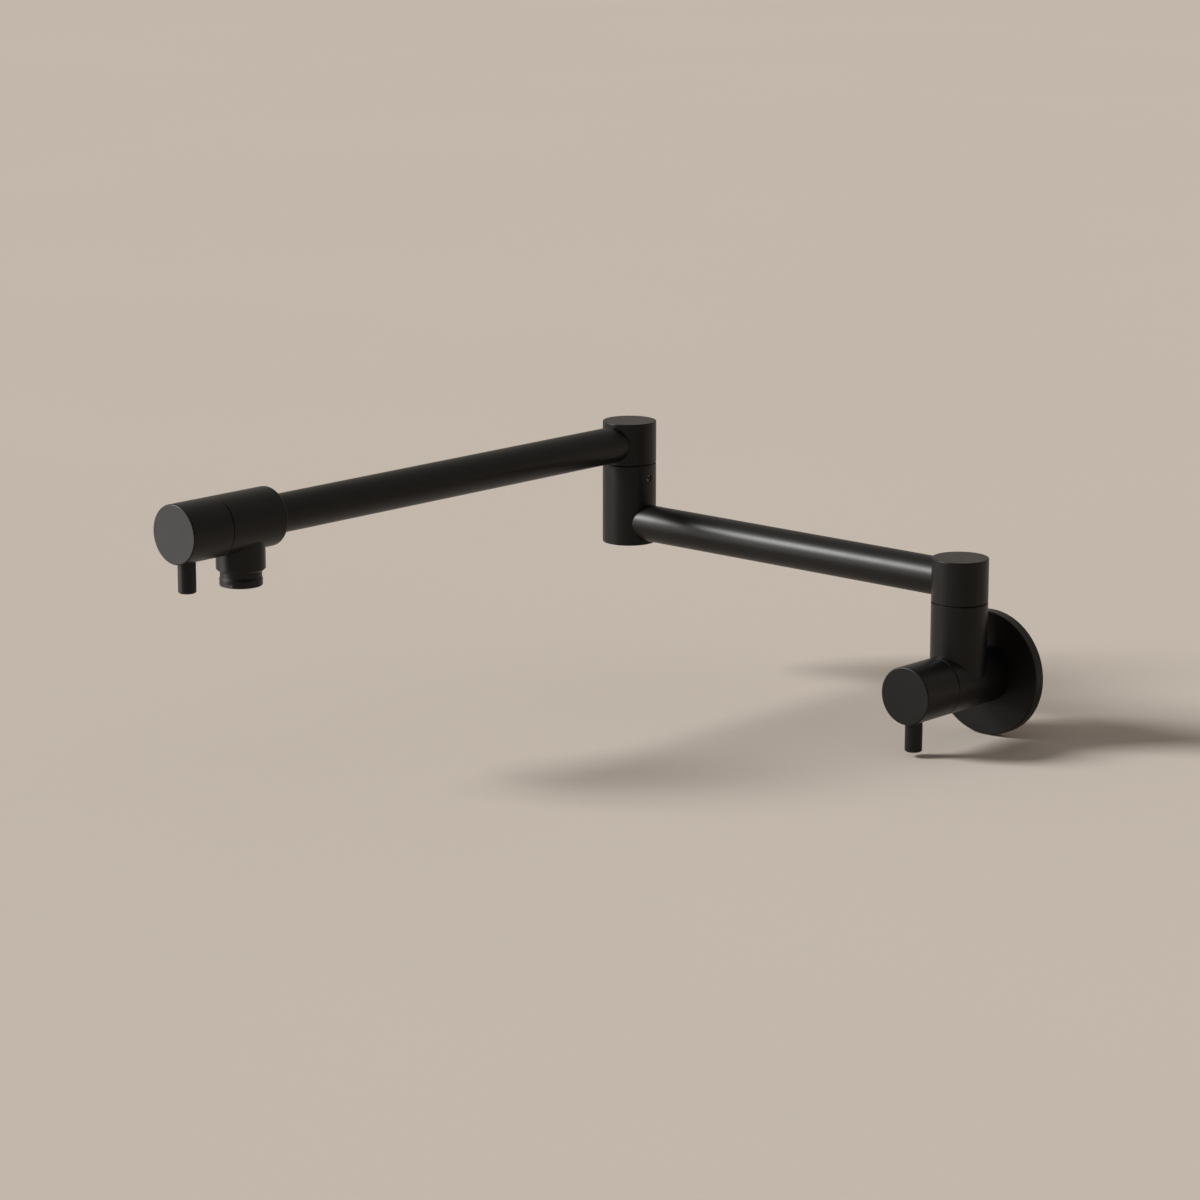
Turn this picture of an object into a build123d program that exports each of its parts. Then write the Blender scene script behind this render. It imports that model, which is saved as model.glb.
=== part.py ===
from build123d import *

import os

# A wall-mounted pot filler: a valve on the wall, two swinging tube arms and a valve at the spout.
# The origin is on the wall, at the centre of the flange's back. +X runs right along the wall,
# +Y into the wall and +Z up. At rest the inner arm lies along the wall, towards -X, the outer
# arm stands straight out from it, towards -Y, and both levers point down.

# Driving dimensions, in millimetres

# Arms
inner_arm_length = 251.5      # riser axis to elbow axis
outer_arm_reach = 320.5       # elbow axis to outlet axis
tube_diameter = 22.0
tube_wall = 1.5
tube_lap = 0.45               # least depth of a tube in the hub it is brazed into
braze_gap = 0.05

# Hubs and their swivels
hub_diameter = 32.5
hub_rounding = 0.6            # on a hub's free end
hub_end_wall = 2.1            # hub's free end to the nearest side of the tube
hub_seam_wall = 1.3           # an upper hub's end at the seam to the tube above it
seam_gap = 0.4                # between two hubs
seam_edge = 0.35              # chamfer beside a seam
slip_washer_thickness = 0.35
slip_washer_inset = 1.2       # hub side to washer rim
riser_height = 46.2           # barrel axis to the top of the riser
spigot_diameter = 22.0
spigot_reach = 21.0           # below the seam
spigot_bore = 14.0
spigot_thread_diameter = 20.0
spigot_thread_length = 7.2
spigot_end_gap = 0.4          # end of the spigot to the bottom of its socket
socket_to_tube = 3.2          # bottom of the socket to the tube below it
run_clearance = 0.05          # radial, between what turns and its bore
waterway_diameter = 12.0
o_ring_section = 1.6
o_ring_groove_width = 2.1
o_ring_land = 0.9
groove_relief = 0.03          # O-ring to the floor of its groove
grub_diameter = 4.0
grub_drop = 8.0               # seam to grub screw axis
grub_tip_diameter = 2.8
grub_tip_length = 1.4
grub_tip_gap = 0.4            # around the tip, in the spigot's groove
grub_groove_depth = 1.6
grub_inset = 0.9              # hub side to the screw's outer end
grub_key = 2.0                # across the flats of its hexagon socket
grub_key_depth = 2.0
thread_gap = 0.03             # radial, between a screw thread and its hole

# Wall flange and inlet
flange_diameter = 73.0
flange_thickness = 6.5
flange_rounding = 0.6
flange_front_plate = 3.0
flange_rim = 4.0
flange_boss_wall = 2.0
flange_slip = 0.2             # radial, between flange and barrel
grip_ring_section = 2.0
grip_groove_width = 2.4
gasket_width = 5.0
gasket_play = 0.1
inlet_thread_diameter = 20.955
inlet_thread_length = 19.0    # the free stretch, behind the wall
inlet_thread_start = 1.0      # behind the wall
inlet_relief_depth = 1.2
inlet_relief_length = 3.0
inlet_socket_depth = 14.5
inlet_bore = 13.0
inlet_key = 12.0              # across the flats of its hexagon socket
inlet_key_depth = 8.0
inlet_washer_thickness = 1.5
inlet_wall = 6.2              # inlet socket to the cartridge's seat
barrel_back = 1.0             # wall to the barrel's back end

# Valve barrels and knobs
barrel_diameter = 33.5
barrel_edge = 0.35
riser_to_front = 20.0         # riser axis to the barrel's front
outlet_to_front = 19.0        # outlet axis to the spout body's front
knob_seam = 0.3
knob_length = 29.1
knob_face_rounding = 0.8
knob_front_wall = 3.9
knob_head_play = 0.4          # hexagon corners to the knob's recess
lever_diameter = 10.0
lever_length = 16.65          # outside the knob
lever_to_face = 8.85
lever_end_edge = 0.6
lever_pocket_depth = 3.5
lever_stud_diameter = 6.0
lever_stud_gap = 0.1          # stud end to stem

# Ceramic cartridges, alike at both ends
gland_diameter = 22.0
gland_length = 10.0
gland_head = 5.0
gland_hexagon = 24.0
shell_diameter = 18.0
shell_bore = 15.0
shell_window_width = 10.0
shell_notch_width = 3.0
stem_diameter = 10.0
stem_shoulder = 2.0           # above the gland's head
spline_diameter = 8.0
spline_teeth = 20
spline_depth = 0.4
spline_play = 0.05
driver_play = 0.3
driver_thickness = 2.0
yoke_length = 10.2
yoke_width = 9.0
yoke_thickness = 3.0
yoke_depth = 1.4              # into the turning disc
yoke_play = 0.1
disc_thickness = 3.0
disc_gap = 0.05
disc_play = 0.2               # radial
disc_port_inner = 2.6
disc_port_outer = 6.2
disc_port_angle = 80.0
disc_ear = 1.2                # fixed disc's ears, into the shell's notches
seat_seal_thickness = 1.75
seat_seal_width = 2.6
shell_to_seat = 1.0
stem_ring_section = 1.1
stem_ring_groove_width = 1.5
clip_thickness = 0.7
clip_width = 1.9
clip_mouth = 4.0

# Spout body and aerator
spout_tube_depth = 7.0
spout_wall = 2.7              # tube socket to the cartridge's seat
spout_back_rounding = 1.2
aerator_diameter = 24.0
aerator_thread_length = 6.5
aerator_drop = 8.4            # below the collar
aerator_neck_inset = 0.4
aerator_neck_length = 3.0
aerator_flare = 1.5
aerator_rounding = 0.8
aerator_wall = 1.9
aerator_lip = 1.2
aerator_flat_depth = 1.0      # wrench flats
aerator_flat_height = 2.3
aerator_washer_thickness = 1.5
collar_wall = 1.7
collar_drop = 10.45           # below the spout body's underside
collar_edge = 1.3
insert_length = 9.5
insert_play = 0.1
insert_hole = 1.7
insert_hole_pitch = 2.6
insert_hole_rings = 3
screen_thickness = 0.6

# Sizes that follow
tube_radius = tube_diameter / 2
hub_radius = hub_diameter / 2
barrel_radius = barrel_diameter / 2
flange_radius = flange_diameter / 2
spigot_radius = spigot_diameter / 2
socket_radius = spigot_radius + run_clearance
socket_depth = spigot_reach + spigot_end_gap
waterway_radius = waterway_diameter / 2
passage_radius = tube_radius - 2 * tube_wall
tube_seat = (hub_radius ** 2 - tube_radius ** 2) ** 0.5 - tube_lap
hub_end_to_tube_axis = hub_end_wall + tube_radius
tube_axis_in_upper_hub = seam_gap + hub_seam_wall + tube_radius
tube_axis_in_lower_hub = -(socket_depth + socket_to_tube + tube_radius)
inner_arm_height = riser_height + tube_axis_in_upper_hub
elbow_seam_height = inner_arm_height - tube_axis_in_lower_hub
outer_arm_height = elbow_seam_height + tube_axis_in_upper_hub

gland_radius = gland_diameter / 2
cartridge_radius = gland_radius + thread_gap
stem_radius = stem_diameter / 2
driver_top = gland_length + driver_play
turning_disc_top = driver_top + driver_thickness + yoke_length
fixed_disc_top = turning_disc_top + disc_thickness + disc_gap
seal_top = fixed_disc_top + disc_thickness
seat_depth = seal_top + seat_seal_thickness
knob_face = knob_seam + knob_length
knob_recess = gland_head + stem_shoulder + knob_seam
stem_end = knob_face - knob_front_wall - spline_play
lever_height = knob_face - lever_to_face
lever_floor = barrel_radius - lever_pocket_depth

grip_ring_height = (barrel_back + flange_thickness) / 2
inlet_socket_end = barrel_back + inlet_socket_depth
barrel_front = inlet_socket_end + inlet_wall + seat_depth
riser_out = barrel_front - riser_to_front
spout_front = outer_arm_reach + outlet_to_front
spout_body_length = spout_tube_depth + spout_wall + seat_depth
spout_back = spout_front - spout_body_length

aerator_radius = aerator_diameter / 2
aerator_socket_radius = aerator_radius + thread_gap
aerator_socket_depth = aerator_thread_length + aerator_washer_thickness
aerator_bore_radius = aerator_radius - aerator_wall
insert_radius = aerator_bore_radius - insert_play
collar_radius = aerator_socket_radius + collar_wall
collar_bottom = -(barrel_radius + collar_drop)

# Places. Each is a frame in which a group of pieces is modelled along its own +Z.
from_wall = Plane((0, 0, 0), x_dir=(1, 0, 0), z_dir=(0, -1, 0)).location
wall_front = from_wall * Pos(0, 0, barrel_front)
riser_seam = Pos(0, -riser_out, riser_height)
elbow_seam = Pos(-inner_arm_length, -riser_out, elbow_seam_height)
from_elbow = Pos(-inner_arm_length, -riser_out, outer_arm_height) * from_wall
spout_front_place = from_elbow * Pos(0, 0, spout_front)
outlet = Pos(-inner_arm_length, -riser_out - outer_arm_reach, outer_arm_height)
aerator_place = outlet * Pos(0, 0, collar_bottom)
towards_inner_arm = Rot(0, 0, 180)
towards_outer_arm = Rot(0, 0, -90)
towards_wall = Rot(0, 0, 90)
sideways = Rot(0, 90, 0)      # turns +Z to +X
downwards = Rot(90, 0, 0)     # turns +Z to -Y, which points down on a valve


def bar(radius, low, high):
    """Round bar along Z between two heights."""
    align = (Align.CENTER, Align.CENTER, Align.MIN)
    return Pos(0, 0, low) * Cylinder(radius, high - low, align=align)


def turned(*corners):
    """Turned solid about Z, from the corners of its half section: a radius and a height each."""
    outline = Polyline([(radius, 0, height) for radius, height in corners], close=True)
    return revolve(make_face(outline), Axis.Z)


def ring(outer, inner, low, high):
    """Flat ring about Z."""
    return turned((inner, low), (outer, low), (outer, high), (inner, high))


def edged_bar(radius, low, high, low_edge=0, high_edge=0):
    """Round bar along Z with a chamfer at either end or both."""
    body = bar(radius, low, high)
    if low_edge:
        body = chamfer(body.edges().group_by(Axis.Z)[0], low_edge)
    if high_edge:
        body = chamfer(body.edges().group_by(Axis.Z)[-1], high_edge)
    return body


def rounded(body, end, radius):
    """Body with its outline rounded at its low end, 0, or its high end, -1."""
    return fillet(body.edges().group_by(Axis.Z)[end], radius)


def hexagon(across_flats, low, high):
    """Hexagonal bar along Z."""
    outline = RegularPolygon(across_flats / 2, 6, major_radius=False)
    return Pos(0, 0, low) * extrude(outline, high - low)


def groove(outer, floor, low, high):
    """Corners of a turned groove, for use inside an outline."""
    return [(outer, low), (floor, low), (floor, high), (outer, high)]


def tube(low, high):
    """Arm tube along Z."""
    return ring(tube_radius, tube_radius - tube_wall, low, high)


def tube_socket(height):
    """Cut for a tube that is brazed into a hub from its +X side, and its way past the hub's middle."""
    pocket = bar(tube_radius + braze_gap, tube_seat, hub_radius + tube_seat)
    passage = bar(passage_radius, -passage_radius, tube_seat)
    return Pos(0, 0, height) * sideways * (pocket + passage)


def grub_hole():
    """Cut for a grub screw that enters a lower hub from its +X side."""
    hole = bar(grub_diameter / 2 + thread_gap, socket_radius / 2, hub_radius + grub_diameter)
    return Pos(0, 0, -grub_drop) * sideways * hole


def spigot_socket():
    """Cut for the spigot, down from the top of a lower hub."""
    return bar(socket_radius, -socket_depth, 0)


def upper_hub(turn):
    """Closed hub above a seam, with its tube towards the turned +X."""
    top = tube_axis_in_upper_hub + hub_end_to_tube_axis
    hub = rounded(edged_bar(hub_radius, seam_gap, top, low_edge=seam_edge), -1, hub_rounding)
    thread_end = seam_gap + spigot_thread_length
    hub -= bar(spigot_thread_diameter / 2 + thread_gap, seam_gap, thread_end)
    hub -= bar(spigot_bore / 2, thread_end, tube_axis_in_upper_hub)
    return hub - turn * tube_socket(tube_axis_in_upper_hub)


def spigot_groove_heights():
    """Low edges of the two O-ring grooves, worked up from the spigot's end."""
    first = -spigot_reach + o_ring_land
    return [first, first + o_ring_groove_width + o_ring_land]


def spigot():
    """Hollow pin that is screwed into the upper hub and turns in the lower one."""
    bore = spigot_bore / 2
    thread = spigot_thread_diameter / 2
    thread_end = seam_gap + spigot_thread_length
    ring_floor = spigot_radius - o_ring_section - groove_relief
    grub_floor = spigot_radius - grub_groove_depth
    half_width = grub_tip_diameter / 2 + grub_tip_gap
    outline = [(bore, -spigot_reach), (spigot_radius, -spigot_reach)]
    for low in spigot_groove_heights():
        outline += groove(spigot_radius, ring_floor, low, low + o_ring_groove_width)
    outline += groove(spigot_radius, grub_floor, -grub_drop - half_width, -grub_drop + half_width)
    outline += [(spigot_radius, seam_gap), (thread, seam_gap), (thread, thread_end), (bore, thread_end)]
    return turned(*outline)


def spigot_rings():
    """Two O-rings in the spigot's grooves."""
    section = o_ring_section / 2
    rings = Torus(spigot_radius - section, section)
    low, high = [height + o_ring_groove_width / 2 for height in spigot_groove_heights()]
    return Pos(0, 0, low) * rings + Pos(0, 0, high) * rings


def slip_washer():
    """Thin washer that the upper hub turns on."""
    return ring(hub_radius - slip_washer_inset, socket_radius, 0, slip_washer_thickness)


def grub_screw():
    """Grub screw whose tip runs in the spigot's groove and keeps the hubs together."""
    tip_end = spigot_radius - grub_groove_depth + grub_tip_gap
    thread_start = max(tip_end + grub_tip_length, socket_radius)
    outer_end = hub_radius - grub_inset
    thread = grub_diameter / 2
    tip = grub_tip_diameter / 2
    screw = turned(
        (0, tip_end), (tip, tip_end), (tip, thread_start),
        (thread, thread_start), (thread, outer_end), (0, outer_end),
    )
    screw -= hexagon(grub_key, outer_end - grub_key_depth, outer_end)
    return Pos(0, 0, -grub_drop) * sideways * screw


def elbow_lower_hub():
    """Hub under the elbow's seam, with the inner tube in its side and closed below."""
    bottom = tube_axis_in_lower_hub - hub_end_to_tube_axis
    hub = rounded(edged_bar(hub_radius, bottom, 0, high_edge=seam_edge), 0, hub_rounding)
    hub -= spigot_socket()
    hub -= bar(spigot_bore / 2, tube_axis_in_lower_hub, -socket_depth)
    return hub - tube_socket(tube_axis_in_lower_hub) - grub_hole()


def wall_flange():
    """Cover plate, hollow behind, that slides over the barrel to the wall."""
    disc = rounded(bar(flange_radius, 0, flange_thickness), -1, flange_rounding)
    recess = flange_thickness - flange_front_plate
    bore = barrel_radius + flange_slip
    ring_floor = barrel_radius + grip_ring_section + 2 * groove_relief
    disc -= bar(bore, 0, flange_thickness)
    disc -= ring(flange_radius - flange_rim, ring_floor + flange_boss_wall, 0, recess)
    disc -= bar(ring_floor + flange_boss_wall, 0, barrel_back)
    groove_low = grip_ring_height - grip_groove_width / 2
    return disc - bar(ring_floor, groove_low, groove_low + grip_groove_width)


def flange_grip_ring():
    """O-ring that holds the flange on the barrel."""
    section = grip_ring_section / 2
    return Pos(0, 0, grip_ring_height) * Torus(barrel_radius + groove_relief + section, section)


def flange_gasket():
    """Foam ring in the flange's hollow back."""
    outer = flange_radius - flange_rim - gasket_play
    return ring(outer, outer - gasket_width, 0, flange_thickness - flange_front_plate)


def inlet_nipple():
    """Threaded nipple from the barrel's back into the supply in the wall, with a hexagon socket."""
    thread = inlet_thread_diameter / 2
    bore = inlet_bore / 2
    inner_end = inlet_socket_end - inlet_washer_thickness
    outer_end = -(inlet_thread_start + inlet_thread_length)
    relief_low = -inlet_thread_start
    relief = groove(thread, thread - inlet_relief_depth, relief_low, relief_low + inlet_relief_length)
    nipple = turned((bore, outer_end), (thread, outer_end), *relief, (thread, inner_end), (bore, inner_end))
    return nipple - hexagon(inlet_key, outer_end, outer_end + inlet_key_depth)


def inlet_washer():
    """Fibre washer between the nipple and the barrel."""
    low = inlet_socket_end - inlet_washer_thickness
    return ring(inlet_thread_diameter / 2, inlet_bore / 2, low, inlet_socket_end)


def valve_body():
    """Barrel on the wall and the riser that stands on it, in one casting."""
    barrel = edged_bar(barrel_radius, barrel_back, barrel_front, barrel_edge, barrel_edge)
    riser = edged_bar(hub_radius, 0, riser_height, high_edge=seam_edge)
    body = from_wall * barrel + Pos(0, -riser_out, 0) * riser
    body -= from_wall * bar(inlet_thread_diameter / 2 + thread_gap, barrel_back, inlet_socket_end)
    body -= from_wall * bar(waterway_radius, inlet_socket_end, barrel_front - seat_depth)
    body -= wall_front * bar(cartridge_radius, -seat_depth, 0)
    body -= Pos(0, -riser_out, 0) * bar(waterway_radius, 0, riser_height)
    body -= riser_seam * spigot_socket()
    return body - riser_seam * towards_wall * grub_hole()


def cartridge_shell():
    """Brass shell that is screwed into a barrel's front and holds the discs."""
    thread_low = -gland_length
    end = -(seat_depth - shell_to_seat)
    ring_floor = gland_radius - o_ring_section - groove_relief
    ring_low = -o_ring_land - o_ring_groove_width
    shell = turned(
        (0, end), (shell_diameter / 2, end), (shell_diameter / 2, thread_low), (gland_radius, thread_low),
        *groove(gland_radius, ring_floor, ring_low, -o_ring_land), (gland_radius, 0), (0, 0),
    )
    shell += hexagon(gland_hexagon, 0, gland_head)
    shell -= bar(stem_radius + run_clearance, -gland_length, gland_head)
    shell -= bar(shell_bore / 2, end, -gland_length)
    window_length = turning_disc_top - driver_top
    window = Box(shell_window_width, 2 * shell_diameter, window_length)
    shell -= Pos(0, 0, -(driver_top + turning_disc_top) / 2) * window
    notch_length = -end - fixed_disc_top
    notch = Box(2 * shell_diameter, shell_notch_width + disc_play, notch_length)
    return shell - Pos(0, 0, end + notch_length / 2) * notch


def shell_ring():
    """O-ring under the shell's head."""
    section = o_ring_section / 2
    height = -o_ring_land - o_ring_groove_width / 2
    return Pos(0, 0, height) * Torus(gland_radius - section, section)


def disc_ports(low):
    """Two opposite sectors through a ceramic disc, towards +X and -X."""
    inner, outer = disc_port_inner, disc_port_outer
    high = low + disc_thickness
    section = Polyline([(inner, 0, low), (outer, 0, low), (outer, 0, high), (inner, 0, high)], close=True)
    port = Rot(0, 0, -disc_port_angle / 2) * revolve(make_face(section), Axis.Z, disc_port_angle)
    return port + Rot(0, 0, 180) * port


def fixed_disc():
    """Ceramic disc that is keyed in the shell, with its ports crosswise to the turning disc's."""
    low = -seal_top
    disc = bar(shell_bore / 2 - disc_play, low, low + disc_thickness)
    reach = shell_bore + 2 * disc_ear
    disc += Pos(0, 0, low + disc_thickness / 2) * Box(reach, shell_notch_width, disc_thickness)
    return disc - Rot(0, 0, 90) * disc_ports(low)


def turning_disc():
    """Ceramic disc that the stem turns on the fixed one."""
    low = -(turning_disc_top + disc_thickness)
    disc = bar(shell_bore / 2 - disc_play, low, low + disc_thickness)
    depth = yoke_depth + yoke_play
    slot = Box(yoke_thickness + yoke_play, yoke_width + yoke_play, depth)
    disc -= Pos(0, 0, -turning_disc_top - depth / 2) * slot
    return disc - disc_ports(low)


def seat_seal():
    """Rubber ring between the fixed disc and its seat in the barrel."""
    outer = shell_bore / 2 - disc_play
    return ring(outer, outer - seat_seal_width, -seat_depth, -seal_top)


def stem_groove_heights():
    """Low edges of the stem's two O-ring grooves."""
    return [-gland_length / 2 - stem_ring_groove_width, gland_head / 2 - stem_ring_groove_width]


def stem():
    """Splined stem with the yoke that drives the turning disc."""
    spline = spline_diameter / 2
    driver = shell_bore / 2 - disc_play
    driver_low = -(driver_top + driver_thickness)
    ring_floor = stem_radius - stem_ring_section - groove_relief
    clip_low = gland_head + groove_relief
    outline = [(0, driver_low), (driver, driver_low), (driver, -driver_top), (stem_radius, -driver_top)]
    for low in stem_groove_heights():
        outline += groove(stem_radius, ring_floor, low, low + stem_ring_groove_width)
    clip_high = clip_low + clip_thickness + 2 * groove_relief
    outline += groove(stem_radius, stem_radius - clip_width / 2, clip_low, clip_high)
    shoulder = gland_head + stem_shoulder
    outline += [(stem_radius, shoulder), (spline, shoulder), (spline, stem_end), (0, stem_end)]
    body = turned(*outline)
    yoke = Box(yoke_thickness, yoke_width, yoke_length + yoke_depth)
    body += Pos(0, 0, driver_low - (yoke_length + yoke_depth) / 2) * yoke
    length = stem_end - shoulder
    tooth_gap = Rot(0, 0, 45) * Box(spline_depth, spline_depth, length)
    gaps = [place * tooth_gap for place in PolarLocations(spline, spline_teeth)]
    return body - [Pos(0, 0, shoulder + length / 2) * gap for gap in gaps]


def stem_rings():
    """Two O-rings on the stem."""
    section = stem_ring_section / 2
    rings = Torus(stem_radius - section, section)
    low, high = [height + stem_ring_groove_width / 2 for height in stem_groove_heights()]
    return Pos(0, 0, low) * rings + Pos(0, 0, high) * rings


def stem_clip():
    """Open clip that keeps the stem in its shell."""
    inner = stem_radius - clip_width / 2 + groove_relief
    low = gland_head + 2 * groove_relief
    clip = ring(inner + clip_width, inner, low, low + clip_thickness)
    mouth = Box(2 * stem_diameter, clip_mouth, clip_thickness)
    return clip - Pos(stem_diameter, 0, low + clip_thickness / 2) * mouth


def knob():
    """Turning knob with a recess over the cartridge's head and a side pocket for the lever."""
    body = edged_bar(barrel_radius, knob_seam, knob_face, low_edge=barrel_edge)
    body = rounded(body, -1, knob_face_rounding)
    corner = gland_hexagon / 3 ** 0.5
    body -= bar(corner + knob_head_play, knob_seam, knob_recess)
    body -= bar(spline_diameter / 2 + spline_play, knob_recess, knob_face - knob_front_wall)
    stud_hole = bar(lever_stud_diameter / 2 + thread_gap, 0, lever_floor)
    pocket = bar(lever_diameter / 2 + braze_gap, lever_floor, 2 * barrel_radius)
    return body - Pos(0, 0, lever_height) * downwards * (stud_hole + pocket)


def lever():
    """Round lever pin, screwed into the knob until its stud holds the stem."""
    stud = lever_stud_diameter / 2
    rod = lever_diameter / 2
    start = spline_diameter / 2 + lever_stud_gap
    end = barrel_radius + lever_length
    pin = turned(
        (0, start), (stud, start), (stud, lever_floor), (rod, lever_floor),
        (rod, end - lever_end_edge), (rod - lever_end_edge, end), (0, end),
    )
    return Pos(0, 0, lever_height) * downwards * pin


def spout_body():
    """Barrel at the arm's end with the outlet collar below it."""
    barrel = edged_bar(barrel_radius, spout_back, spout_front, high_edge=barrel_edge)
    barrel = rounded(barrel, 0, spout_back_rounding)
    collar = edged_bar(collar_radius, collar_bottom, 0, low_edge=collar_edge)
    body = from_elbow * barrel + outlet * collar
    body -= from_elbow * bar(tube_radius + braze_gap, spout_back, spout_back + spout_tube_depth)
    body -= from_elbow * bar(waterway_radius, spout_back, spout_front - seat_depth)
    body -= spout_front_place * bar(cartridge_radius, -seat_depth, 0)
    body -= outlet * bar(waterway_radius, collar_bottom, 0)
    return body - aerator_place * bar(aerator_socket_radius, 0, aerator_socket_depth)


def aerator_housing():
    """Threaded ring with two wrench flats that holds the insert under the collar."""
    neck = aerator_radius - aerator_neck_inset
    lip_top = -aerator_neck_length - aerator_flare
    outside = turned(
        (0, -aerator_drop), (aerator_radius, -aerator_drop), (aerator_radius, lip_top),
        (neck, -aerator_neck_length), (neck, 0), (aerator_radius, 0),
        (aerator_radius, aerator_thread_length), (0, aerator_thread_length),
    )
    housing = rounded(outside, 0, aerator_rounding)
    housing -= bar(aerator_bore_radius, -aerator_drop + aerator_lip, aerator_thread_length)
    housing -= bar(aerator_bore_radius - aerator_lip, -aerator_drop, -aerator_drop + aerator_lip)
    flat = Box(aerator_diameter, aerator_diameter, aerator_flat_height)
    offset = aerator_diameter - aerator_flat_depth
    for side in (-1, 1):
        housing -= Pos(0, side * offset, aerator_flat_height / 2 - aerator_drop) * flat
    return housing


def outlet_holes(low, high):
    """Rings of small holes about Z."""
    hole = bar(insert_hole / 2, low, high)
    places = [Pos(0, 0, 0)]
    for index in range(1, insert_hole_rings + 1):
        places += PolarLocations(index * insert_hole_pitch, 6 * index).locations
    return [place * hole for place in places]


def aerator_insert():
    """Moulded flow straightener on the housing's lip."""
    low = -aerator_drop + aerator_lip
    return bar(insert_radius, low, low + insert_length) - outlet_holes(low, low + insert_length)


def aerator_screen():
    """Perforated steel screen on top of the insert."""
    low = -aerator_drop + aerator_lip + insert_length
    return bar(insert_radius, low, low + screen_thickness) - outlet_holes(low, low + screen_thickness)


def aerator_washer():
    """Rubber washer between the housing and the spout body."""
    high = aerator_thread_length + aerator_washer_thickness
    return ring(aerator_radius, aerator_bore_radius, aerator_thread_length, high)


nodes = {
    "wall_flange": from_wall * wall_flange(),
    "flange_gasket": from_wall * flange_gasket(),
    "flange_grip_ring": from_wall * flange_grip_ring(),
    "inlet_nipple": from_wall * inlet_nipple(),
    "inlet_washer": from_wall * inlet_washer(),
    "valve_body": valve_body(),
    "riser_hub": riser_seam * upper_hub(towards_inner_arm),
    "inner_tube": Pos(0, -riser_out, inner_arm_height) * towards_inner_arm * sideways
    * tube(tube_seat, inner_arm_length - tube_seat),
    "elbow_lower_hub": elbow_seam * elbow_lower_hub(),
    "elbow_upper_hub": elbow_seam * upper_hub(towards_outer_arm),
    "outer_tube": from_elbow * tube(tube_seat, spout_back + spout_tube_depth),
    "spout_body": spout_body(),
    "aerator_housing": aerator_place * aerator_housing(),
    "aerator_insert": aerator_place * aerator_insert(),
    "aerator_screen": aerator_place * aerator_screen(),
    "aerator_washer": aerator_place * aerator_washer(),
}

# The two swivels are alike, apart from where the grub screw enters.
for name, place, grub_turn in (
    ("riser", riser_seam, towards_wall),
    ("elbow", elbow_seam, Rot(0, 0, 0)),
):
    nodes[f"{name}_spigot"] = place * spigot()
    nodes[f"{name}_o_rings"] = place * spigot_rings()
    nodes[f"{name}_slip_washer"] = place * slip_washer()
    nodes[f"{name}_grub_screw"] = place * grub_turn * grub_screw()

# The two valves are alike.
for name, place in (("wall", wall_front), ("spout", spout_front_place)):
    nodes[f"{name}_knob"] = place * knob()
    nodes[f"{name}_lever"] = place * lever()
    nodes[f"{name}_stem"] = place * stem()
    nodes[f"{name}_stem_rings"] = place * stem_rings()
    nodes[f"{name}_stem_clip"] = place * stem_clip()
    nodes[f"{name}_turning_disc"] = place * turning_disc()
    nodes[f"{name}_cartridge_shell"] = place * cartridge_shell()
    nodes[f"{name}_shell_ring"] = place * shell_ring()
    nodes[f"{name}_fixed_disc"] = place * fixed_disc()
    nodes[f"{name}_seat_seal"] = place * seat_seal()

os.makedirs("parts", exist_ok=True)
for name, solid in nodes.items():
    export_step(solid, f"parts/{name}.step")

print(f"riser axis {riser_out:.2f} from the wall, inner arm at {inner_arm_height:.2f}")
print(f"elbow seam at {elbow_seam_height:.2f}, outer arm at {outer_arm_height:.2f}")
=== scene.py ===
import math

import bmesh
import bpy
from mathutils import Euler, Matrix, Vector


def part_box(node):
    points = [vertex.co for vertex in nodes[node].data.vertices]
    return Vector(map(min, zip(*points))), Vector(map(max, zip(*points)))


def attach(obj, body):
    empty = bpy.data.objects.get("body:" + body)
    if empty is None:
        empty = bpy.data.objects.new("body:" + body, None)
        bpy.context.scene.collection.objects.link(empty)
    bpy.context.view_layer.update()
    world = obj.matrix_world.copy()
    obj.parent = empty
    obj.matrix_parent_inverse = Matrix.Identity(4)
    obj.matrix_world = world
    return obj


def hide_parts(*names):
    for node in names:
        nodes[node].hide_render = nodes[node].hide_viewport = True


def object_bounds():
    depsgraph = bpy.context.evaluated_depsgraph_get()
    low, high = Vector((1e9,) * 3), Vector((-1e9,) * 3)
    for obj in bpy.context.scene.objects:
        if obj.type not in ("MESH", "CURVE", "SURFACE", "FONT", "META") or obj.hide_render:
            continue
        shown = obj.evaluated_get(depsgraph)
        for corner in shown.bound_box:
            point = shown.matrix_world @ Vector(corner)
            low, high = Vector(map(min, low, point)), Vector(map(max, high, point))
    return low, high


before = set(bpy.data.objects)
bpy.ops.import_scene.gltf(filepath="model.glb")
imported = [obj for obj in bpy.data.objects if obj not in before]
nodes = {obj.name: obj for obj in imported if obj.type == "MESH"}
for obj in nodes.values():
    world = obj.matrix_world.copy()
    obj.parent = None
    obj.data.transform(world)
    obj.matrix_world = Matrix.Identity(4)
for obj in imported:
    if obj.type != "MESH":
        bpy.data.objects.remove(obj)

cad_low, cad_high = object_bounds()


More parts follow.
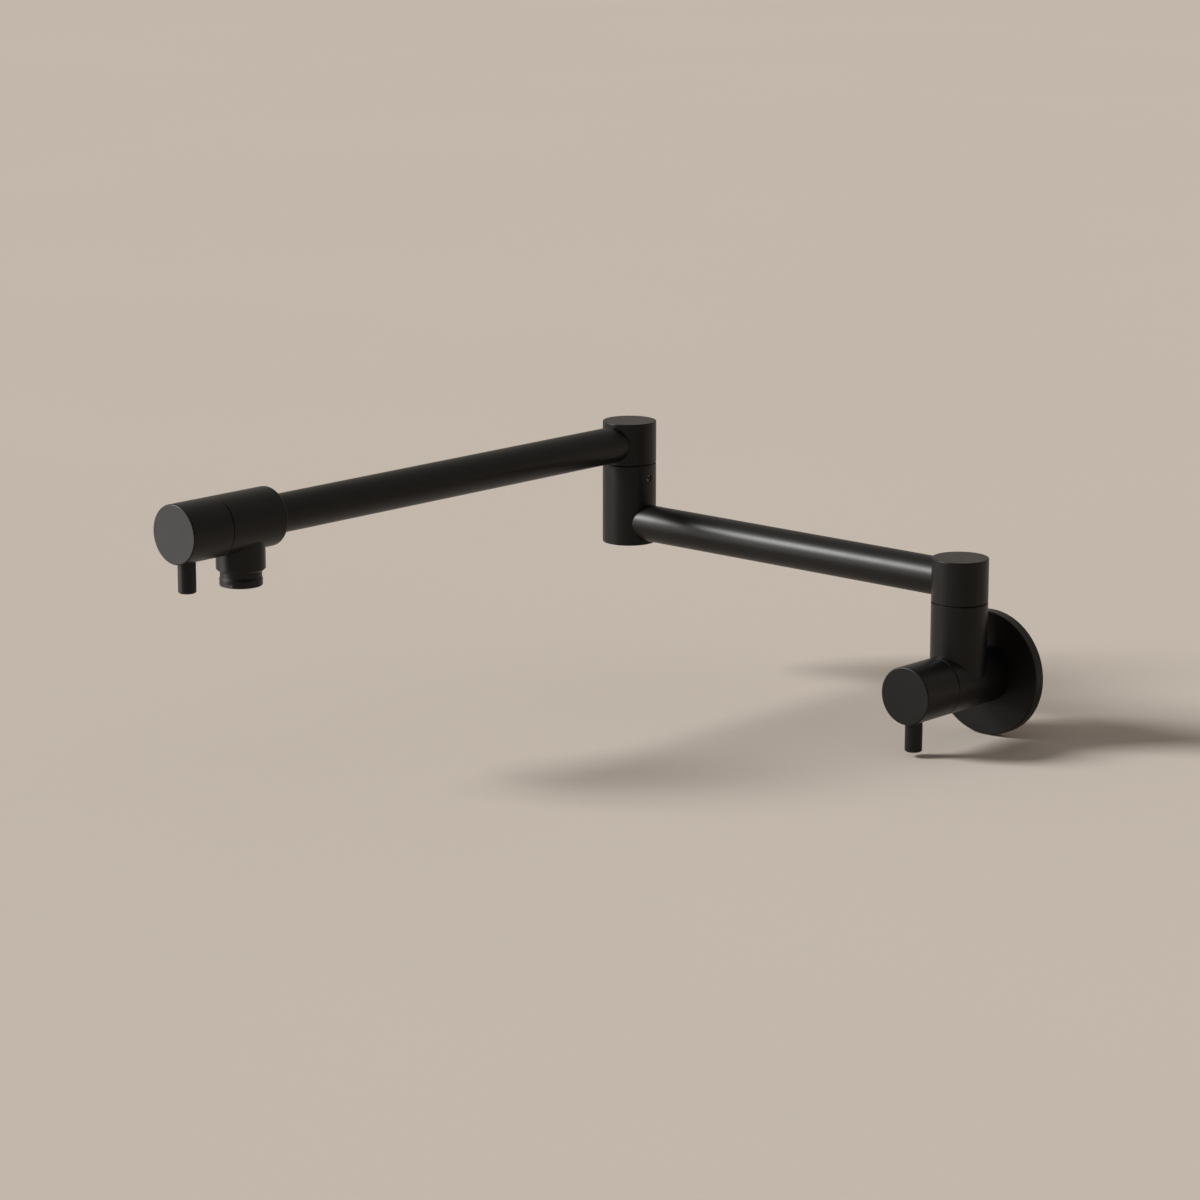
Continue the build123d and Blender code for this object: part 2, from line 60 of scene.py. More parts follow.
# Inlet nipple: a length of brass pipe thread, turned on a lathe and screwed into the barrel's back.
# It goes into the supply in the wall, and its bore has six notches for a hexagon key.
mm = 0.001
nipple_low, nipple_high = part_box("inlet_nipple")
thread_radius = nipple_high.x
thread_pitch = 1.814 * mm
thread_depth = 1.16 * mm
thread_flat = 1 / 6
thread_rows = 6
thread_inner_end = 1.0 * mm
weld_distance = 0.001 * mm
relief_inner_end = -2.0 * mm
nipple_bore = 6.5 * mm
nipple_key = 6.0 * mm
nipple_key_depth = 8.0 * mm
nipple_segments = 120
crisp_edge = math.radians(35)
relief_strength = 0.6
soft_detail = 3.0
along_wall_axis = Matrix.Rotation(math.radians(-90), 4, "X")


def shade(mesh):
    """Smooth shading that keeps the mesh's sharper edges crisp."""
    mesh.shade_smooth()
    mesh.set_sharp_from_angle(angle=crisp_edge)


def turned_mesh(name, outline, segments, place, closed=True):
    """Lathe shape about its own Z, set in its place. A radius may depend on the turn."""
    shape = bmesh.new()
    rings = []
    for radius, height in outline:
        ring = []
        for step in range(segments):
            turn = 2 * math.pi * step / segments
            reach = radius(turn) if callable(radius) else radius
            ring.append(shape.verts.new((reach * math.cos(turn), reach * math.sin(turn), height)))
        rings.append(ring)
    for lower, upper in zip(rings, rings[1:] + rings[:1] if closed else rings[1:]):
        for step in range(segments):
            after = (step + 1) % segments
            shape.faces.new((lower[step], lower[after], upper[after], upper[step]))
    bmesh.ops.transform(shape, matrix=place, verts=shape.verts)
    bmesh.ops.recalc_face_normals(shape, faces=shape.faces)
    mesh = bpy.data.meshes.new(name)
    shape.to_mesh(mesh)
    shape.free()
    shade(mesh)
    piece = bpy.data.objects.new(name, mesh)
    bpy.context.scene.collection.objects.link(piece)
    return piece


def add_node(tree, kind, inputs=None, **settings):
    """Node with its settings, whose inputs are linked to a socket or set to a plain value."""
    made = tree.nodes.new(kind)
    for setting, value in settings.items():
        setattr(made, setting, value)
    for key, value in (inputs or {}).items():
        if isinstance(value, bpy.types.NodeSocket):
            tree.links.new(value, made.inputs[key])
        else:
            made.inputs[key].default_value = value
    return made


def maths(tree, operation, *values):
    """Output of a Math node."""
    return add_node(tree, "ShaderNodeMath", dict(enumerate(values)), operation=operation).outputs[0]


def vector_maths(tree, operation, *vectors):
    """Number from a Vector Math node."""
    made = add_node(tree, "ShaderNodeVectorMath", dict(enumerate(vectors)), operation=operation)
    return made.outputs["Value"]


def mixed(tree, share, first, second):
    """Colour between two others, each of them a socket or a plain value."""
    mix = add_node(
        tree, "ShaderNodeMix", {"Factor": share, "A": first, "B": second},
        data_type="RGBA", clamp_factor=True,
    )
    return mix.outputs["Result"]


def noise(tree, size, detail, **place):
    """Noise of about a given grain size, at a place in space or along a line."""
    inputs = {**place, "Scale": maths(tree, "DIVIDE", 1.0, size), "Detail": detail}
    dimensions = "1D" if "W" in place else "3D"
    return add_node(tree, "ShaderNodeTexNoise", inputs, noise_dimensions=dimensions).outputs["Fac"]


def new_tree(name, kind, inputs, outputs):
    """Node tree with named sockets, its two end nodes and the identifiers of its inputs."""
    tree = bpy.data.node_groups.new(name, kind)
    sockets = {
        label: tree.interface.new_socket(label, in_out="INPUT", socket_type=f"NodeSocket{form}")
        for label, form in inputs.items()
    }
    for label, form in outputs.items():
        tree.interface.new_socket(label, in_out="OUTPUT", socket_type=f"NodeSocket{form}")
    start = tree.nodes.new("NodeGroupInput")
    end = tree.nodes.new("NodeGroupOutput")
    return tree, start, end, {label: socket.identifier for label, socket in sockets.items()}


def end_with_material(tree, geometry, start, end):
    """Close of a geometry tree: instances made real, then the piece's material."""
    real = add_node(tree, "GeometryNodeRealizeInstances", {"Geometry": geometry})
    painted = add_node(tree, "GeometryNodeSetMaterial", {
        "Geometry": real.outputs[0], "Material": start.outputs["Material"],
    })
    tree.links.new(painted.outputs[0], end.inputs[0])


def run_tree(piece, tree, identifiers, values):
    """Runs a geometry tree on a piece and leaves the result as its plain mesh."""
    modifier = piece.modifiers.new(tree.name, "NODES")
    modifier.node_group = tree
    for label, value in values.items():
        modifier[identifiers[label]] = value
    evaluated = piece.evaluated_get(bpy.context.evaluated_depsgraph_get())
    mesh = bpy.data.meshes.new_from_object(evaluated)
    piece.modifiers.remove(modifier)
    mesh.name = piece.name
    shade(mesh)
    piece.data = mesh


def turning_lines_group():
    """Fine rings that a lathe tool leaves round an axis, as tone, roughness and height."""
    tree, start, end, _ = new_tree(
        "turning_lines", "ShaderNodeTree",
        {"Axis": "Vector", "Line Size": "Float", "Cloud Size": "Float", "Roughness": "Float",
         "Spread": "Float"},
        {"Tone": "Float", "Roughness": "Float", "Height": "Float"},
    )
    place = add_node(tree, "ShaderNodeTexCoord").outputs["Object"]
    along = vector_maths(tree, "DOT_PRODUCT", place, start.outputs["Axis"])
    lines = noise(tree, start.outputs["Line Size"], soft_detail, W=along)
    cloud = noise(tree, start.outputs["Cloud Size"], soft_detail, Vector=place)
    both = maths(tree, "MULTIPLY", maths(tree, "ADD", lines, cloud), 0.5)
    offset = maths(tree, "MULTIPLY", maths(tree, "SUBTRACT", both, 0.5), start.outputs["Spread"])
    tree.links.new(both, end.inputs["Tone"])
    tree.links.new(maths(tree, "ADD", start.outputs["Roughness"], offset), end.inputs["Roughness"])
    tree.links.new(lines, end.inputs["Height"])
    return tree


def make_material(name, effect, effect_values, dark, light, relief, **shader_values):
    """Material whose tone, roughness and relief come from an effect group."""
    material = bpy.data.materials.new(name)
    material.use_nodes = True
    tree = material.node_tree
    shader = tree.nodes["Principled BSDF"]
    surface = add_node(tree, "ShaderNodeGroup", effect_values, node_tree=effect)
    tint = mixed(tree, surface.outputs["Tone"], (*dark, 1), (*light, 1))
    bump = add_node(tree, "ShaderNodeBump", {
        "Height": surface.outputs["Height"], "Strength": relief_strength, "Distance": relief,
    })
    tree.links.new(tint, shader.inputs["Base Color"])
    tree.links.new(surface.outputs["Roughness"], shader.inputs["Roughness"])
    tree.links.new(bump.outputs["Normal"], shader.inputs["Normal"])
    for label, value in shader_values.items():
        shader.inputs[label].default_value = value
    return material


def dress(material, *names):
    """Gives CAD nodes their material."""
    for name in names:
        for material_slot in nodes[name].material_slots:
            material_slot.material = material


def key_notch(turn):
    """Radius of the bore where the hexagon key goes in."""
    sixth = math.pi / 3
    return max(nipple_bore, nipple_key / math.cos((turn + sixth / 2) % sixth - sixth / 2))


def pipe_thread_tree():
    """Screw thread wound along Y between the rims of a turned piece, with a cone at each end."""
    tree, start, end, identifiers = new_tree(
        "pipe_thread", "GeometryNodeTree",
        {"Geometry": "Geometry", "Radius": "Float", "Depth": "Float", "Pitch": "Float",
         "Flat": "Float", "Low End": "Float", "High End": "Float", "Rows": "Int", "Steps": "Int",
         "Weld": "Float", "Material": "Material"},
        {"Geometry": "Geometry"},
    )
    depth, pitch, flat, low, high, steps = (
        start.outputs[label] for label in ("Depth", "Pitch", "Flat", "Low End", "High End", "Steps")
    )
    pitches = maths(tree, "DIVIDE", maths(tree, "SUBTRACT", high, low), pitch)
    steps_along = maths(tree, "CEIL", maths(tree, "MULTIPLY", pitches, steps))
    columns = maths(tree, "ADD", steps_along, steps)
    strip = add_node(tree, "GeometryNodeMeshGrid", {
        "Size X": 1.0, "Size Y": 1.0, "Vertices X": maths(tree, "ADD", columns, 1.0),
        "Vertices Y": maths(tree, "ADD", start.outputs["Rows"], 1.0),
    }).outputs["Mesh"]
    place = add_node(tree, "GeometryNodeInputPosition").outputs[0]
    parts = add_node(tree, "ShaderNodeSeparateXYZ", {0: place}).outputs
    turns = maths(tree, "DIVIDE", columns, steps)
    wound = maths(tree, "MULTIPLY", maths(tree, "ADD", parts["X"], 0.5), turns)
    across = maths(tree, "ADD", parts["Y"], 0.5)
    begin = maths(tree, "SUBTRACT", low, pitch)
    along = maths(tree, "MULTIPLY_ADD", maths(tree, "ADD", wound, across), pitch, begin)
    height = maths(tree, "MINIMUM", maths(tree, "MAXIMUM", along, low), high)

    half_flat = maths(tree, "MULTIPLY", flat, 0.5)
    flank = maths(tree, "SUBTRACT", 0.5, flat)
    foot = maths(tree, "ADD", flank, half_flat)
    crest = maths(tree, "SUBTRACT", 1.0, foot)
    off_crest = maths(tree, "ABSOLUTE", maths(tree, "SUBTRACT", across, crest))
    flank_rise = maths(tree, "DIVIDE", maths(tree, "SUBTRACT", foot, off_crest), flank)
    rise = maths(tree, "MULTIPLY", depth, maths(tree, "MAXIMUM", flank_rise, 0.0))
    from_low = maths(tree, "SUBTRACT", height, low)
    to_high = maths(tree, "SUBTRACT", high, height)
    cone = maths(tree, "MINIMUM", from_low, to_high)
    ridge = maths(tree, "MINIMUM", maths(tree, "MINIMUM", rise, depth), cone)
    root = maths(tree, "SUBTRACT", start.outputs["Radius"], depth)
    radius = maths(tree, "ADD", root, ridge)
    turn = maths(tree, "MULTIPLY", wound, 2 * math.pi)
    moved = add_node(tree, "ShaderNodeCombineXYZ", {
        "X": maths(tree, "MULTIPLY", radius, maths(tree, "SINE", turn)),
        "Y": height,
        "Z": maths(tree, "MULTIPLY", radius, maths(tree, "COSINE", turn)),
    }).outputs[0]
    thread = add_node(tree, "GeometryNodeSetPosition", {
        "Geometry": strip, "Position": moved,
    }).outputs[0]
    joined = tree.nodes.new("GeometryNodeJoinGeometry")
    tree.links.new(start.outputs["Geometry"], joined.inputs[0])
    tree.links.new(thread, joined.inputs[0])
    welded = add_node(tree, "GeometryNodeMergeByDistance", {
        "Geometry": joined.outputs[0], "Distance": start.outputs["Weld"],
    }).outputs[0]
    end_with_material(tree, welded, start, end)
    return tree, identifiers


turning_lines = turning_lines_group()
brass_lines = {"Line Size": 0.12 * mm, "Cloud Size": 7 * mm, "Roughness": 0.3, "Spread": 0.25}
brass_look = {
    "dark": (0.42, 0.27, 0.09), "light": (0.62, 0.42, 0.16), "relief": 0.01 * mm, "Metallic": 1.0,
}
brass = make_material(
    "turned_brass", turning_lines, {"Axis": (0, 1, 0), **brass_lines}, **brass_look,
)
outer_end = nipple_high.y
key_end = outer_end - nipple_key_depth
root_radius = thread_radius - thread_depth
nipple_outline = [
    (root_radius, thread_inner_end), (root_radius, relief_inner_end),
    (thread_radius, relief_inner_end), (thread_radius, nipple_low.y),
    (nipple_bore, nipple_low.y), (nipple_bore, key_end),
    (key_notch, key_end), (key_notch, outer_end), (root_radius, outer_end),
]
nipple = turned_mesh(
    "threaded_nipple", nipple_outline, nipple_segments, along_wall_axis, closed=False,
)
pipe_thread, pipe_thread_inputs = pipe_thread_tree()
run_tree(nipple, pipe_thread, pipe_thread_inputs, {
    "Radius": thread_radius, "Depth": thread_depth, "Pitch": thread_pitch, "Flat": thread_flat,
    "Low End": thread_inner_end, "High End": outer_end, "Rows": thread_rows,
    "Steps": nipple_segments, "Weld": weld_distance, "Material": brass,
})
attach(nipple, "wall_valve")
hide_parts("inlet_nipple")


# Inlet washer: a flat ring stamped from red-brown pressed fibre sheet.
# It lies at the bottom of the barrel's socket, where the nipple's end squeezes it tight.
grain_detail = 2.0


def fine_grain_group():
    """Fine grain over soft clouds, as tone, roughness and height."""
    tree, start, end, _ = new_tree(
        "fine_grain", "ShaderNodeTree",
        {"Grain Size": "Float", "Cloud Size": "Float", "Roughness": "Float", "Spread": "Float"},
        {"Tone": "Float", "Roughness": "Float", "Height": "Float"},
    )
    place = add_node(tree, "ShaderNodeTexCoord").outputs["Object"]
    grain = noise(tree, start.outputs["Grain Size"], grain_detail, Vector=place)
    cloud = noise(tree, start.outputs["Cloud Size"], soft_detail, Vector=place)
    both = maths(tree, "MULTIPLY", maths(tree, "ADD", grain, cloud), 0.5)
    offset = maths(tree, "MULTIPLY", maths(tree, "SUBTRACT", cloud, 0.5), start.outputs["Spread"])
    tree.links.new(both, end.inputs["Tone"])
    tree.links.new(maths(tree, "ADD", start.outputs["Roughness"], offset), end.inputs["Roughness"])
    tree.links.new(grain, end.inputs["Height"])
    return tree


fine_grain = fine_grain_group()
fibre = make_material(
    "pressed_fibre", fine_grain,
    {"Grain Size": 0.3 * mm, "Cloud Size": 3 * mm, "Roughness": 0.85, "Spread": 0.2},
    dark=(0.13, 0.035, 0.025), light=(0.24, 0.07, 0.045), relief=0.05 * mm,
)
dress(fibre, "inlet_washer")


# Valve body: the barrel on the wall and the riser on it, one brass casting, machined and sprayed.
# The satin black coat is thin and even, with a very fine grain and a soft sheen.
satin_black = make_material(
    "satin_black_coat", fine_grain,
    {"Grain Size": 0.35 * mm, "Cloud Size": 18 * mm, "Roughness": 0.39, "Spread": 0.08},
    dark=(0.0035, 0.0033, 0.0031), light=(0.0075, 0.007, 0.0066), relief=0.004 * mm, IOR=1.33,
)
dress(satin_black, "valve_body")


# Wall flange: a turned brass cover plate in the same black, pushed along the barrel to the wall.
# A rubber ring in its bore grips the barrel, and a foam ring behind it seals to the wall.
rubber = make_material(
    "black_rubber", fine_grain,
    {"Grain Size": 0.2 * mm, "Cloud Size": 6 * mm, "Roughness": 0.6, "Spread": 0.15},
    dark=(0.008, 0.008, 0.008), light=(0.018, 0.018, 0.018), relief=0.01 * mm,
)
foam = make_material(
    "grey_foam", fine_grain,
    {"Grain Size": 0.6 * mm, "Cloud Size": 5 * mm, "Roughness": 0.92, "Spread": 0.1},
    dark=(0.035, 0.035, 0.037), light=(0.11, 0.11, 0.115), relief=0.3 * mm,
)
dress(satin_black, "wall_flange")
dress(rubber, "flange_grip_ring")
gasket_low, gasket_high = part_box("flange_gasket")
gasket_radius = gasket_high.x
gasket_width = 5.0 * mm
gasket_rounding = 0.8 * mm
gasket_corner_steps = 5
gasket_segments = 128
gasket_outline = []
for corner_radius, corner_height, first_turn in (
    (gasket_radius - gasket_rounding, gasket_high.y - gasket_rounding, 0),
    (gasket_radius - gasket_width + gasket_rounding, gasket_high.y - gasket_rounding, 90),
    (gasket_radius - gasket_width + gasket_rounding, gasket_low.y + gasket_rounding, 180),
    (gasket_radius - gasket_rounding, gasket_low.y + gasket_rounding, 270),
):
    for step in range(gasket_corner_steps + 1):
        turn = math.radians(first_turn + 90 * step / gasket_corner_steps)
        gasket_outline.append((
            corner_radius + gasket_rounding * math.cos(turn),
            corner_height + gasket_rounding * math.sin(turn),
        ))
gasket = turned_mesh("foam_gasket", gasket_outline, gasket_segments, along_wall_axis)
gasket.data.materials.append(foam)
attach(gasket, "wall_valve")
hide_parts("flange_gasket")


# Cartridges: a brass shell screwed into each barrel's front, holding two lapped ceramic discs.
# A splined brass stem turns the front disc. Rubber rings seal the stem and a spring clip holds it.
ceramic = make_material(
    "lapped_ceramic", fine_grain,
    {"Grain Size": 0.15 * mm, "Cloud Size": 4 * mm, "Roughness": 0.18, "Spread": 0.08},
    dark=(0.62, 0.6, 0.56), light=(0.76, 0.75, 0.72), relief=0.002 * mm,
)
clip_steel = make_material(
    "spring_steel", turning_lines,
    {"Axis": (1, 0, 0), "Line Size": 0.1 * mm, "Cloud Size": 7 * mm, "Roughness": 0.3,
     "Spread": 0.2},
    dark=(0.3, 0.3, 0.31), light=(0.5, 0.5, 0.51), relief=0.004 * mm, Metallic=1.0,
)
for valve in ("wall", "spout"):
    dress(brass, f"{valve}_cartridge_shell", f"{valve}_stem")
    dress(ceramic, f"{valve}_fixed_disc", f"{valve}_turning_disc")
    dress(rubber, f"{valve}_shell_ring", f"{valve}_seat_seal", f"{valve}_stem_rings")
    dress(clip_steel, f"{valve}_stem_clip")


# Knobs and levers: turned brass in satin black. Each knob is pushed on its stem's splines.
# The lever pin is screwed into the knob's side until its stud holds the stem.
for valve in ("wall", "spout"):
    dress(satin_black, f"{valve}_knob", f"{valve}_lever")


# Swivels: a hollow brass spigot in each upper hub turns in the hub below, on two rubber rings.
# A plastic washer lies in the seam. A blackened steel grub screw holds the spigot by its groove.
spigot_brass = make_material(
    "spigot_brass", turning_lines, {"Axis": (0, 0, 1), **brass_lines}, **brass_look,
)
slip_plastic = make_material(
    "dark_slip_plastic", fine_grain,
    {"Grain Size": 0.25 * mm, "Cloud Size": 8 * mm, "Roughness": 0.5, "Spread": 0.1},
    dark=(0.008, 0.008, 0.008), light=(0.014, 0.014, 0.014), relief=0.005 * mm,
)
grub_steel = make_material(
    "blackened_steel", fine_grain,
    {"Grain Size": 0.2 * mm, "Cloud Size": 2 * mm, "Roughness": 0.4, "Spread": 0.2},
    dark=(0.2, 0.2, 0.2), light=(0.36, 0.36, 0.36), relief=0.01 * mm, Metallic=1.0,
)
for swivel in ("riser", "elbow"):
    dress(spigot_brass, f"{swivel}_spigot")
    dress(rubber, f"{swivel}_o_rings")
    dress(slip_plastic, f"{swivel}_slip_washer")
    dress(grub_steel, f"{swivel}_grub_screw")


# Inner arm: a drawn brass tube brazed into a turned hub at each end, and sprayed satin black.
# The riser hub swings on the wall valve, and the elbow's lower hub carries the outer arm.
dress(satin_black, "riser_hub", "inner_tube", "elbow_lower_hub")


# Outer arm: the same drawn tube, brazed into the elbow's upper hub and the spout body's back.
# Hub, tube and spout body are sprayed together, so the coat runs on over the joints.
dress(satin_black, "elbow_upper_hub", "outer_tube")


# Spout body and aerator: a black barrel with a collar below, and an aerator housing screwed in it.
# The housing holds a pale moulded honeycomb, under a steel screen and a rubber washer.
insert_plastic = make_material(
    "pale_insert_plastic", fine_grain,
    {"Grain Size": 0.3 * mm, "Cloud Size": 4 * mm, "Roughness": 0.42, "Spread": 0.1},
    dark=(0.42, 0.43, 0.42), light=(0.55, 0.56, 0.55), relief=0.005 * mm,
)
screen_steel = make_material(
    "screen_steel", fine_grain,
    {"Grain Size": 0.15 * mm, "Cloud Size": 3 * mm, "Roughness": 0.32, "Spread": 0.15},
    dark=(0.35, 0.35, 0.36), light=(0.52, 0.52, 0.53), relief=0.004 * mm, Metallic=1.0,
)
dress(satin_black, "spout_body", "aerator_housing")
dress(screen_steel, "aerator_screen")
dress(rubber, "aerator_washer")
insert_low, insert_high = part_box("aerator_insert")
insert_radius = (insert_high.x - insert_low.x) / 2
insert_rim = 0.8 * mm
cell_pitch = 2.3 * mm
cell_wall = 0.5 * mm
cell_sides = 6
cell_turn = math.pi / cell_sides
row_pitch_share = math.sqrt(3) / 2
cell_columns = 2 * math.ceil(insert_radius / cell_pitch) + 1
cell_rows = 2 * math.ceil(insert_radius / (cell_pitch * row_pitch_share)) + 1
rim_segments = 72


def walled_line(tree, line, thickness, height):
    """Upright wall of one thickness and height along a flat closed line."""
    section = add_node(tree, "GeometryNodeCurvePrimitiveQuadrilateral", {
        "Width": thickness, "Height": height,
    }).outputs[0]
    return add_node(tree, "GeometryNodeCurveToMesh", {
        "Curve": line, "Profile Curve": section,
    }).outputs[0]


def honeycomb_tree():
    """Hexagonal cells packed inside a round rim, all of one height, about a middle."""
    tree, start, end, identifiers = new_tree(
        "honeycomb_insert", "GeometryNodeTree",
        {"Geometry": "Geometry", "Radius": "Float", "Rim": "Float", "Rim Segments": "Int",
         "Pitch": "Float", "Wall": "Float", "Columns": "Int", "Rows": "Int", "Height": "Float",
         "Middle": "Vector", "Material": "Material"},
        {"Geometry": "Geometry"},
    )
    pitch, columns, rows, height = (
        start.outputs[label] for label in ("Pitch", "Columns", "Rows", "Height")
    )
    half_wall = maths(tree, "MULTIPLY", start.outputs["Wall"], 0.5)
    mitred_wall = maths(tree, "DIVIDE", half_wall, row_pitch_share)
    half_rim = maths(tree, "MULTIPLY", start.outputs["Rim"], 0.5)
    rim_middle = maths(tree, "SUBTRACT", start.outputs["Radius"], half_rim)
    place = add_node(tree, "GeometryNodeInputPosition").outputs[0]
    parts = add_node(tree, "ShaderNodeSeparateXYZ", {0: place}).outputs

    row_step = maths(tree, "MULTIPLY", pitch, row_pitch_share)
    grid = add_node(tree, "GeometryNodeMeshGrid", {
        "Size X": maths(tree, "MULTIPLY", pitch, maths(tree, "SUBTRACT", columns, 1.0)),
        "Size Y": maths(tree, "MULTIPLY", row_step, maths(tree, "SUBTRACT", rows, 1.0)),
        "Vertices X": columns,
        "Vertices Y": rows,
    }).outputs["Mesh"]
    row = maths(tree, "ROUND", maths(tree, "DIVIDE", parts["Y"], row_step))
    half_pitch = maths(tree, "MULTIPLY", pitch, 0.5)
    shift = maths(tree, "MULTIPLY", maths(tree, "FLOORED_MODULO", row, 2.0), half_pitch)
    sideways = add_node(tree, "ShaderNodeCombineXYZ", {"X": shift}).outputs[0]
    staggered = add_node(tree, "GeometryNodeSetPosition", {
        "Geometry": grid, "Offset": sideways,
    }).outputs[0]

    inside = maths(tree, "LESS_THAN", vector_maths(tree, "LENGTH", place), rim_middle)
    cell_width = maths(tree, "SUBTRACT", pitch, half_wall)
    hexagon = add_node(tree, "GeometryNodeCurvePrimitiveCircle", {
        "Resolution": cell_sides, "Radius": maths(tree, "DIVIDE", cell_width, math.sqrt(3)),
    }).outputs[0]
    turned_hexagon = add_node(tree, "GeometryNodeTransform", {
        "Geometry": hexagon, "Rotation": Euler((0, 0, cell_turn)),
    }).outputs[0]
    cell = walled_line(tree, turned_hexagon, mitred_wall, height)
    cells = add_node(tree, "GeometryNodeInstanceOnPoints", {
        "Points": staggered, "Selection": inside, "Instance": cell,
    }).outputs[0]

    across = add_node(tree, "ShaderNodeCombineXYZ", {"X": parts["X"], "Y": parts["Y"]}).outputs[0]
    radius = vector_maths(tree, "LENGTH", across)
    pull = maths(tree, "MINIMUM", maths(tree, "DIVIDE", rim_middle, radius), 1.0)
    pulled = add_node(tree, "ShaderNodeCombineXYZ", {
        "X": maths(tree, "MULTIPLY", parts["X"], pull),
        "Y": maths(tree, "MULTIPLY", parts["Y"], pull),
        "Z": parts["Z"],
    }).outputs[0]
    trimmed = add_node(tree, "GeometryNodeSetPosition", {
        "Geometry": add_node(tree, "GeometryNodeRealizeInstances", {"Geometry": cells}).outputs[0],
        "Position": pulled,
    }).outputs[0]

    rim_line = add_node(tree, "GeometryNodeCurvePrimitiveCircle", {
        "Resolution": start.outputs["Rim Segments"], "Radius": rim_middle,
    }).outputs[0]
    joined = tree.nodes.new("GeometryNodeJoinGeometry")
    tree.links.new(trimmed, joined.inputs[0])
    tree.links.new(walled_line(tree, rim_line, start.outputs["Rim"], height), joined.inputs[0])
    placed = add_node(tree, "GeometryNodeTransform", {
        "Geometry": joined.outputs[0], "Translation": start.outputs["Middle"],
    }).outputs[0]
    end_with_material(tree, placed, start, end)
    return tree, identifiers


honeycomb = bpy.data.objects.new("honeycomb_insert", bpy.data.meshes.new("honeycomb_insert"))
bpy.context.scene.collection.objects.link(honeycomb)
honeycomb_nodes, honeycomb_inputs = honeycomb_tree()
run_tree(honeycomb, honeycomb_nodes, honeycomb_inputs, {
    "Radius": insert_radius, "Rim": insert_rim, "Rim Segments": rim_segments, "Pitch": cell_pitch,
    "Wall": cell_wall, "Columns": cell_columns, "Rows": cell_rows,
    "Height": insert_high.z - insert_low.z, "Middle": (insert_low + insert_high) / 2,
    "Material": insert_plastic,
})
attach(honeycomb, "outer_arm")
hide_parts("aerator_insert")


# Studio: a pale matt floor under the flange, with a far soft key lamp and a floor card at the left.
# The room is dim and warm, paler beyond the object, with a wide low glow at the front left.
scene = bpy.context.scene
scene.view_settings.view_transform = "Standard"
floor_half = 30.0
floor_clearance = 0.2 * mm
key_direction = Vector((-0.66, -0.62, 0.52))
key_angle = math.radians(18)
key_strength = 4.1
card_offset = Vector((-0.5, -0.44, 0))
card_lift = 1 * mm
card_length = 0.6
card_width = 0.3
card_turn = (math.pi, 0, math.radians(41))
card_power = 2.7
room_dark = (0.05, 0.047, 0.044)
room_pale = (0.48, 0.425, 0.37)
room_ceiling = (0.34, 0.32, 0.3)
left_glow = (3.4, 3.2, 3.0)
room_up = (0, 0, 1)
pale_side = (-0.6, 0.8, 0)
pale_limits = (-0.9, 0.7)
ceiling_limits = (0.3, 0.95)
left_side = (-0.743, -0.669, 0)
glow_limits = (0.85, 0.98)


def add_lamp(name, kind, place, turn, **settings):
    """Lamp that stays out of the picture."""
    lamp = bpy.data.lights.new(name, kind)
    for setting, value in settings.items():
        setattr(lamp, setting, value)
    light = bpy.data.objects.new(name, lamp)
    light.location = place
    light.rotation_euler = turn
    light.visible_camera = False
    scene.collection.objects.link(light)


def soft_step(tree, value, limits):
    """Soft rise from 0 to 1 between two limits."""
    low, high = limits
    rise = add_node(
        tree, "ShaderNodeMapRange", {"Value": value, "From Min": low, "From Max": high},
        interpolation_type="SMOOTHSTEP",
    )
    return rise.outputs[0]


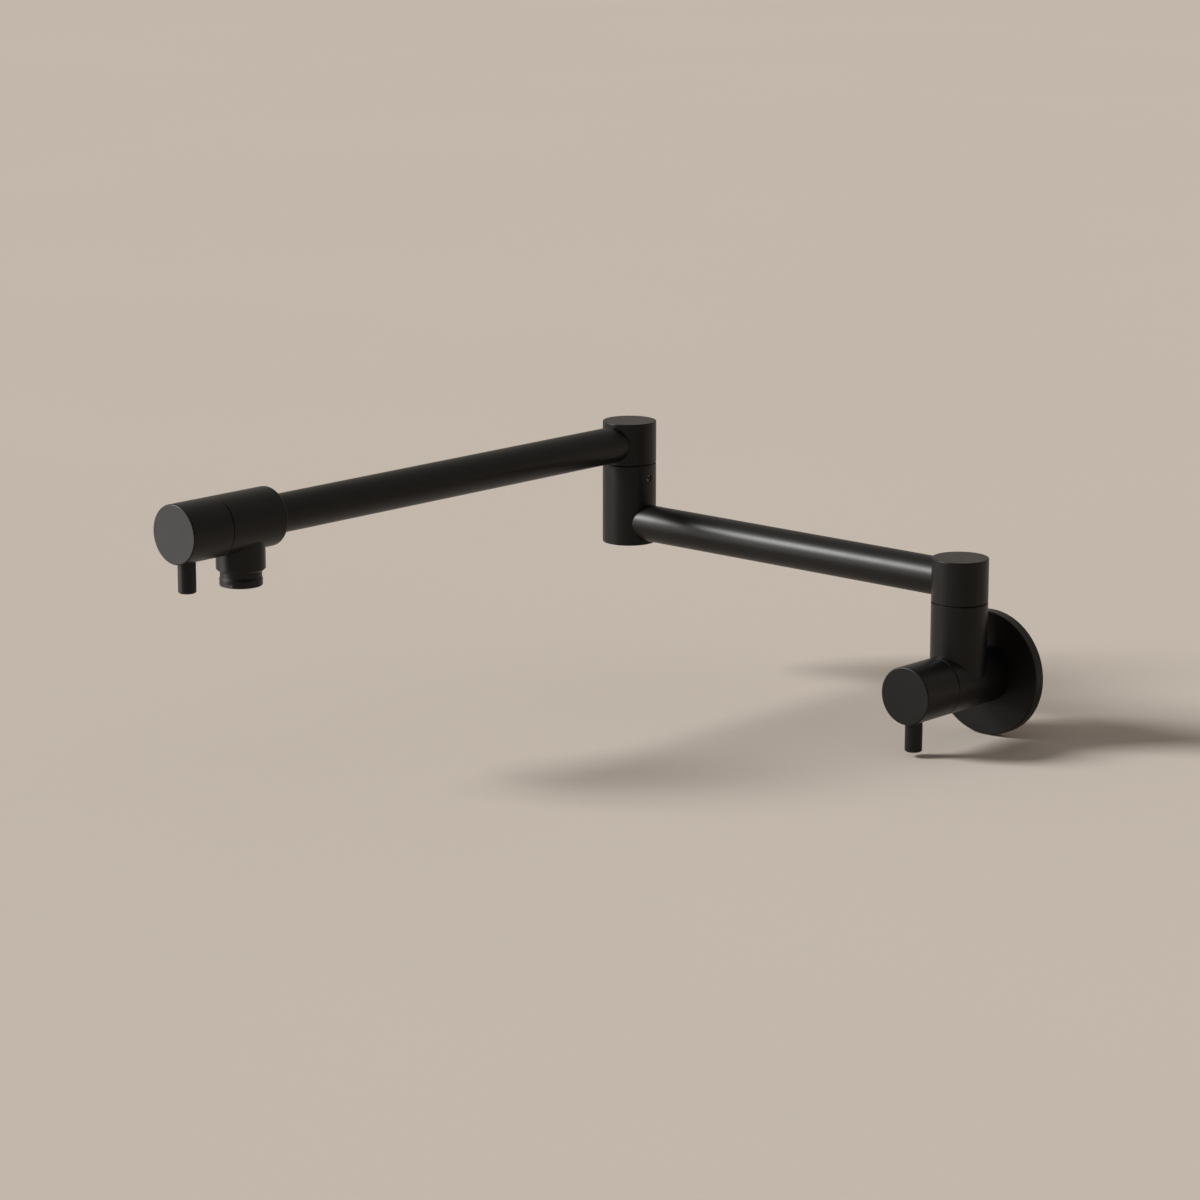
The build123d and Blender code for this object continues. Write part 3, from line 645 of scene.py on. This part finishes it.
floor_height = cad_low.z - floor_clearance
floor_shape = bmesh.new()
floor_shape.faces.new([
    floor_shape.verts.new((floor_half * x, floor_half * y, floor_height))
    for x, y in ((-1, -1), (1, -1), (1, 1), (-1, 1))
])
floor_mesh = bpy.data.meshes.new("floor")
floor_shape.to_mesh(floor_mesh)
floor_shape.free()
floor_mesh.materials.append(make_material(
    "pale_floor", fine_grain,
    {"Grain Size": 2 * mm, "Cloud Size": 600 * mm, "Roughness": 0.9, "Spread": 0.05},
    dark=(0.52, 0.464, 0.412), light=(0.556, 0.496, 0.441), relief=0.02 * mm,
    **{"Specular IOR Level": 0.0},
))
floor = bpy.data.objects.new("floor", floor_mesh)
scene.collection.objects.link(floor)

middle = (cad_low + cad_high) / 2
add_lamp(
    "key_lamp", "SUN", middle + key_direction, key_direction.to_track_quat("Z", "Y").to_euler(),
    energy=key_strength, angle=key_angle,
)
knob_low, knob_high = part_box("spout_knob")
card_place = (knob_low + knob_high) / 2
card_place.y = knob_low.y
card_place.z = floor_height + card_lift
add_lamp(
    "floor_card", "AREA", card_place + card_offset, card_turn,
    shape="RECTANGLE", size=card_length, size_y=card_width, energy=card_power,
)

scene.world = bpy.data.worlds.new("studio_room")
scene.world.use_nodes = True
room = scene.world.node_tree
room_way = add_node(room, "ShaderNodeTexCoord").outputs["Generated"]
room_colour = (*room_dark, 1)
for way, limits, colour in (
    (pale_side, pale_limits, room_pale),
    (room_up, ceiling_limits, room_ceiling),
    (left_side, glow_limits, left_glow),
):
    towards = vector_maths(room, "DOT_PRODUCT", room_way, way)
    room_colour = mixed(room, soft_step(room, towards, limits), room_colour, (*colour, 1))
room.links.new(room_colour, room.nodes["Background"].inputs["Color"])


# Camera: the photograph's own place and lens.
# Both were found from the arms, hubs, knobs and flange that the photograph shows.
photo_pixels = 1200
focal_pixels = 3914.3
camera_place = (1.303307, -1.776138, 0.544854)
camera_yaw = math.radians(42.154)
camera_pitch = math.radians(12.929)
camera_data = bpy.data.cameras.new("photo_camera")
camera_data.lens = focal_pixels / photo_pixels * camera_data.sensor_width
camera = bpy.data.objects.new("photo_camera", camera_data)
camera.location = camera_place
look = Vector((
    -math.sin(camera_yaw) * math.cos(camera_pitch),
    math.cos(camera_yaw) * math.cos(camera_pitch),
    -math.sin(camera_pitch),
))
camera.rotation_euler = look.to_track_quat("-Z", "Y").to_euler()
scene.collection.objects.link(camera)
scene.camera = camera
